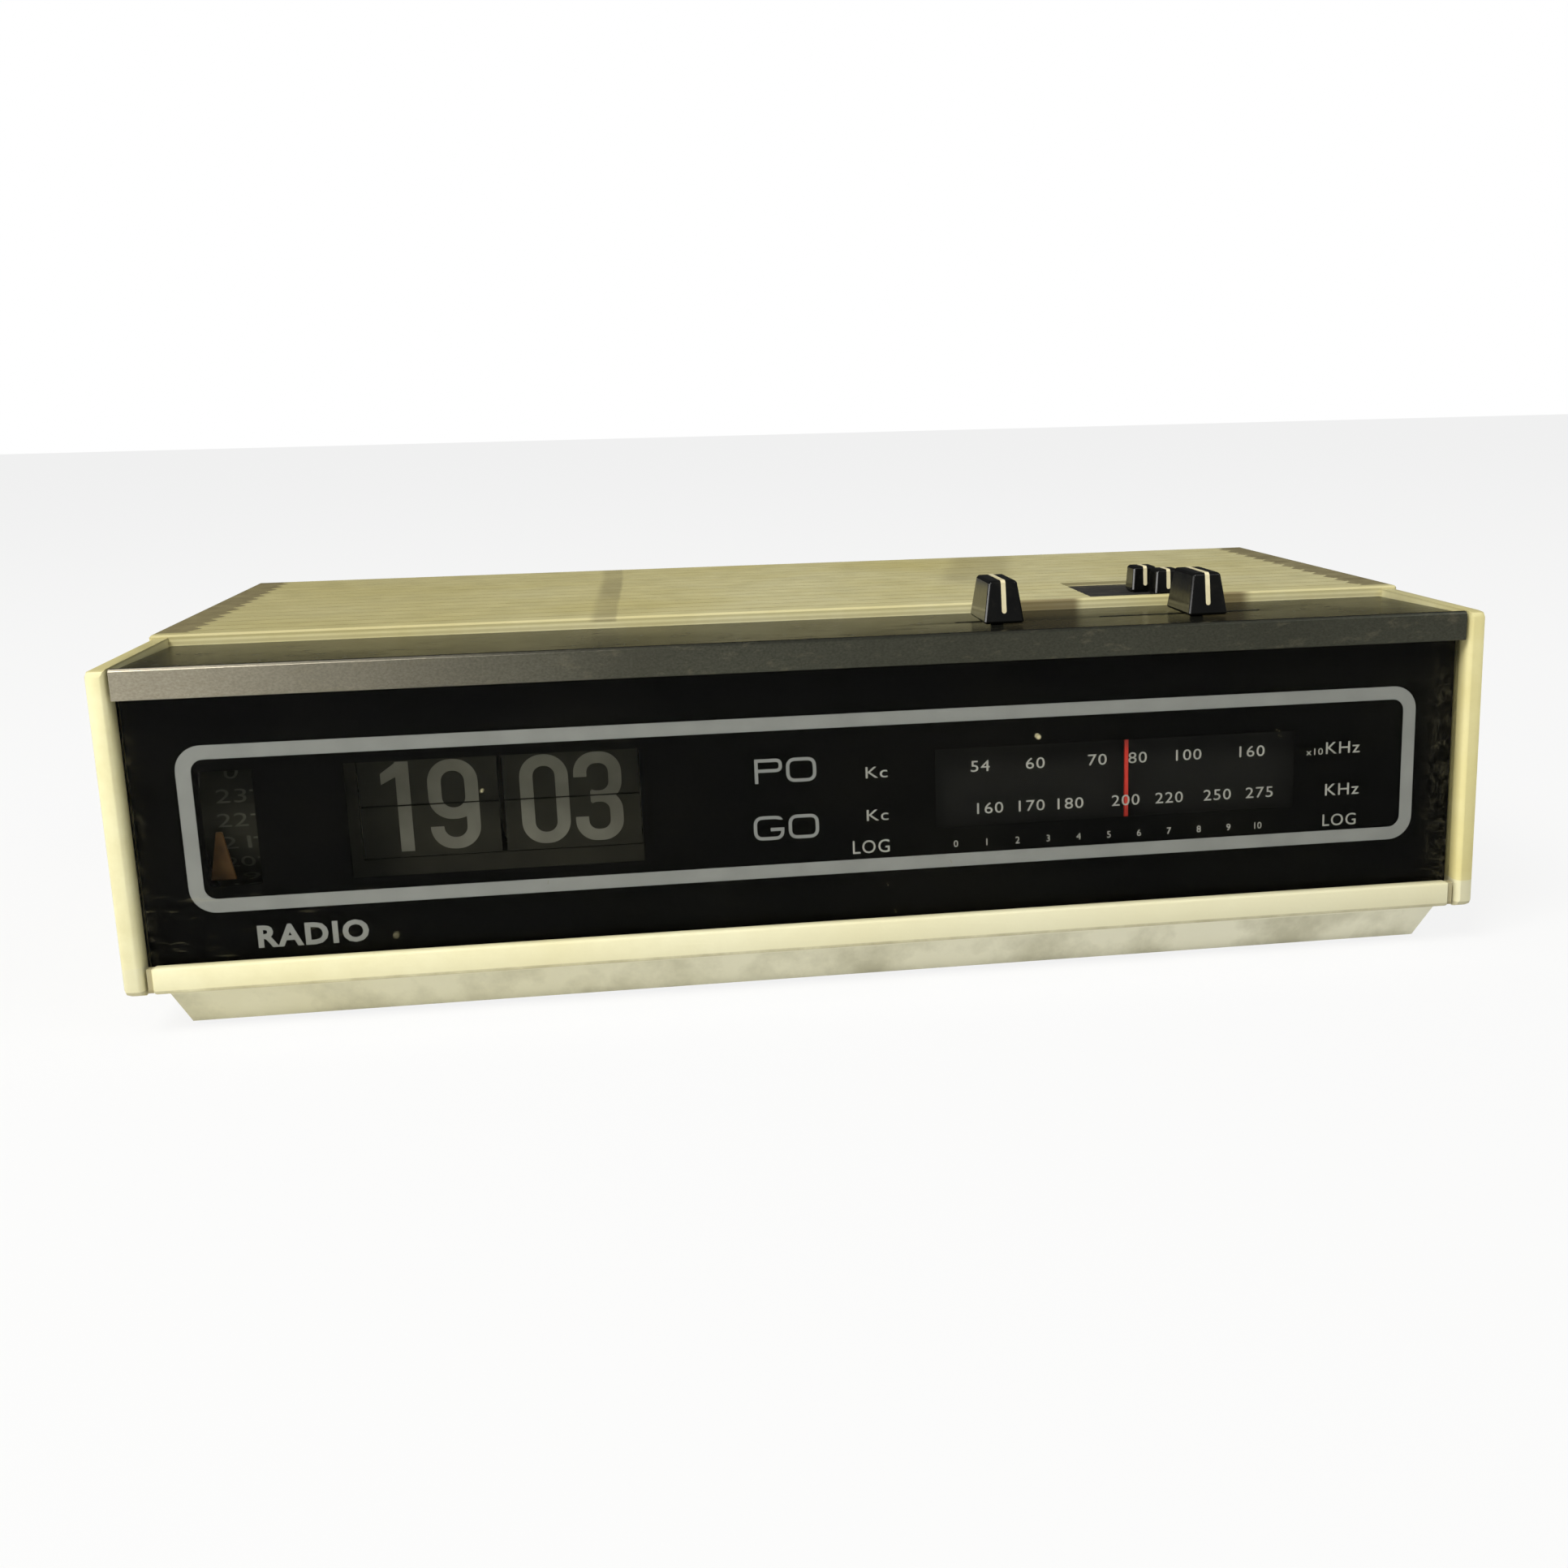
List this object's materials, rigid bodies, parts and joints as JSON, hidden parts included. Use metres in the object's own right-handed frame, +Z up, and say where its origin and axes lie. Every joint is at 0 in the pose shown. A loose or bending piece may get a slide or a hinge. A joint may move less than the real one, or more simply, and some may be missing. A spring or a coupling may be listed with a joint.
{
  "type": "clock radio",
  "caption": "Long low clock radio with a ribbed case, recessed glossy dial window, flip-leaf clock, sliding tuning pointer and slider knobs on top.",
  "frame": {"origin": "on the table under the middle of the case, at the underside of the feet", "axes": "+X to the viewer's right along the case, +Y from the front window to the back, +Z up"},
  "size_m": [0.3232, 0.169, 0.0909],
  "materials": {
    "ivory_plastic": "satin moulded plastic, yellowed",
    "grey_trim": "satin metallic grey paint",
    "smoked_lens": "polished, black print behind with clear windows",
    "black_plastic": "gloss moulded",
    "dark_plate": "matte",
    "rubber": "matte",
    "steel": "plated sheet",
    "brass": "turned",
    "white_plastic": "natural nylon",
    "leaf": "matte printed film",
    "amber": "translucent amber",
    "pointer_red": "satin",
    "cord": "braided cord",
    "board": "phenolic board",
    "copper": "enamelled copper wire, wound",
    "ferrite": "sintered",
    "paper": "pressed paper cone",
    "blue_sleeve": "shrunk sleeve",
    "neon_glass": "clear tube"
  },
  "bodies": {
    "case": {"upper_cabinet": "ivory_plastic", "lower_cabinet": "ivory_plastic", "rear_cover": "ivory_plastic", "front_trim": "grey_trim", "front_lens": "smoked_lens", "switch_plate": "dark_plate", "foot_front_left": "rubber", "foot_front_right": "rubber", "foot_rear_left": "rubber", "foot_rear_right": "rubber", "case_screw_front_left": "steel", "case_screw_front_right": "steel", "case_screw_rear_left": "steel", "case_screw_rear_right": "steel", "cord_grommet": "rubber", "function_switch": "steel", "volume_pot": "steel", "band_switch": "steel", "tone_pot": "steel", "tuning_capacitor": "white_plastic", "dial_plate": "dark_plate", "dial_cord": "cord", "clock_frame": "steel", "clock_axle": "steel", "hour_leaf_lower": "leaf", "hour_leaf_pack": "leaf", "minute_leaf_lower": "leaf", "minute_leaf_pack": "leaf", "alarm_index": "amber", "clock_motor": "steel", "clock_lamp": "neon_glass", "main_board": "board", "transformer_core": "steel", "transformer_coil": "copper", "speaker_frame": "steel", "speaker_cone": "paper", "speaker_magnet": "ferrite", "ferrite_rod": "ferrite", "antenna_coil": "copper", "filter_capacitor": "blue_sleeve"},
    "function_knob": {"function_knob": "black_plastic"},
    "volume_knob": {"volume_knob": "black_plastic"},
    "band_knob": {"band_knob": "black_plastic"},
    "tone_knob": {"tone_knob": "black_plastic"},
    "tuning_knob": {"tuning_knob": "black_plastic", "tuning_spindle": "steel"},
    "dial_drum": {"dial_drum": "white_plastic"},
    "dial_pointer": {"dial_pointer": "pointer_red"},
    "cord_pulley_left": {"cord_pulley_left": "brass"},
    "cord_pulley_middle": {"cord_pulley_middle": "brass"},
    "cord_pulley_right": {"cord_pulley_right": "brass"},
    "minute_drum": {"minute_drum": "white_plastic"},
    "hour_drum": {"hour_drum": "white_plastic"},
    "time_knob": {"time_knob": "black_plastic", "time_pinion": "brass"},
    "motor_pinion": {"motor_pinion": "brass"},
    "alarm_drum": {"alarm_drum": "leaf", "alarm_knob": "black_plastic"},
    "hour_leaf": {"hour_leaf_upper": "leaf"},
    "minute_leaf": {"minute_leaf_upper": "leaf"}
  },
  "joints": [
    {"name": "function_slide", "type": "slide", "parent": "case", "child": "function_knob", "axis": [1, 0, 0], "range_m": [-0.008, 0]},
    {"name": "volume_slide", "type": "slide", "parent": "case", "child": "volume_knob", "axis": [1, 0, 0], "range_m": [-0.022, 0.014]},
    {"name": "band_slide", "type": "slide", "parent": "case", "child": "band_knob", "axis": [1, 0, 0], "range_m": [-0.004, 0]},
    {"name": "tone_slide", "type": "slide", "parent": "case", "child": "tone_knob", "axis": [1, 0, 0], "range_m": [-0.0083, 0.0035]},
    {"name": "tuning_turn", "type": "hinge", "parent": "case", "child": "tuning_knob", "pos_m": [0.155, -0.0395, 0.0612], "axis": [-1, 0, 0], "range_deg": [-790, 603]},
    {"name": "dial_drum_turn", "type": "hinge", "parent": "case", "child": "dial_drum", "pos_m": [0.106, 0.0155, 0.0642], "axis": [0, 0, 1], "range_deg": [-102.3, 78.1]},
    {"name": "pointer_slide", "type": "slide", "parent": "case", "child": "dial_pointer", "axis": [1, 0, 0], "range_m": [-0.0414, 0.0316]},
    {"name": "pulley_left_turn", "type": "hinge", "parent": "case", "child": "cord_pulley_left", "pos_m": [0.016, -0.0675, 0.0642], "axis": [0, 0, 1], "range_deg": [-593, 453]},
    {"name": "pulley_middle_turn", "type": "hinge", "parent": "case", "child": "cord_pulley_middle", "pos_m": [0.0788, -0.0595, 0.0642], "axis": [0, 0, 1], "range_deg": [-453, 593]},
    {"name": "pulley_right_turn", "type": "hinge", "parent": "case", "child": "cord_pulley_right", "pos_m": [0.1252, -0.0675, 0.0642], "axis": [0, 0, 1], "range_deg": [-593, 453]},
    {"name": "minute_drum_turn", "type": "hinge", "parent": "case", "child": "minute_drum", "pos_m": [-0.058, -0.0501, 0.0451], "axis": [1, 0, 0], "continuous": true},
    {"name": "hour_drum_turn", "type": "hinge", "parent": "case", "child": "hour_drum", "pos_m": [-0.09, -0.0501, 0.0451], "axis": [1, 0, 0], "continuous": true},
    {"name": "time_knob_turn", "type": "hinge", "parent": "case", "child": "time_knob", "pos_m": [-0.155, -0.0181, 0.0451], "axis": [1, 0, 0], "continuous": true},
    {"name": "motor_pinion_turn", "type": "hinge", "parent": "case", "child": "motor_pinion", "pos_m": [-0.0404, -0.02959, 0.02459], "axis": [1, 0, 0], "continuous": true},
    {"name": "alarm_turn", "type": "hinge", "parent": "case", "child": "alarm_drum", "pos_m": [-0.155, -0.0501, 0.0451], "axis": [1, 0, 0], "continuous": true},
    {"name": "hour_leaf_flip", "type": "hinge", "parent": "case", "child": "hour_leaf", "pos_m": [-0.09, -0.0655, 0.0451], "axis": [1, 0, 0], "range_deg": [0, 180]},
    {"name": "minute_leaf_flip", "type": "hinge", "parent": "case", "child": "minute_leaf", "pos_m": [-0.058, -0.0655, 0.0451], "axis": [1, 0, 0], "range_deg": [0, 180]}
  ],
  "couplings": [
    {"joint": "dial_drum_turn", "follows": "tuning_turn", "ratio": 0.12931},
    {"joint": "pointer_slide", "follows": "tuning_turn", "m_per_rad": 0.003},
    {"joint": "pulley_left_turn", "follows": "tuning_turn", "ratio": 0.75},
    {"joint": "pulley_middle_turn", "follows": "tuning_turn", "ratio": -0.75},
    {"joint": "pulley_right_turn", "follows": "tuning_turn", "ratio": 0.75},
    {"joint": "hour_drum_turn", "follows": "minute_drum_turn", "ratio": 0.041667},
    {"joint": "time_knob_turn", "follows": "minute_drum_turn", "ratio": -3},
    {"joint": "motor_pinion_turn", "follows": "minute_drum_turn", "ratio": -4.8}
  ]
}
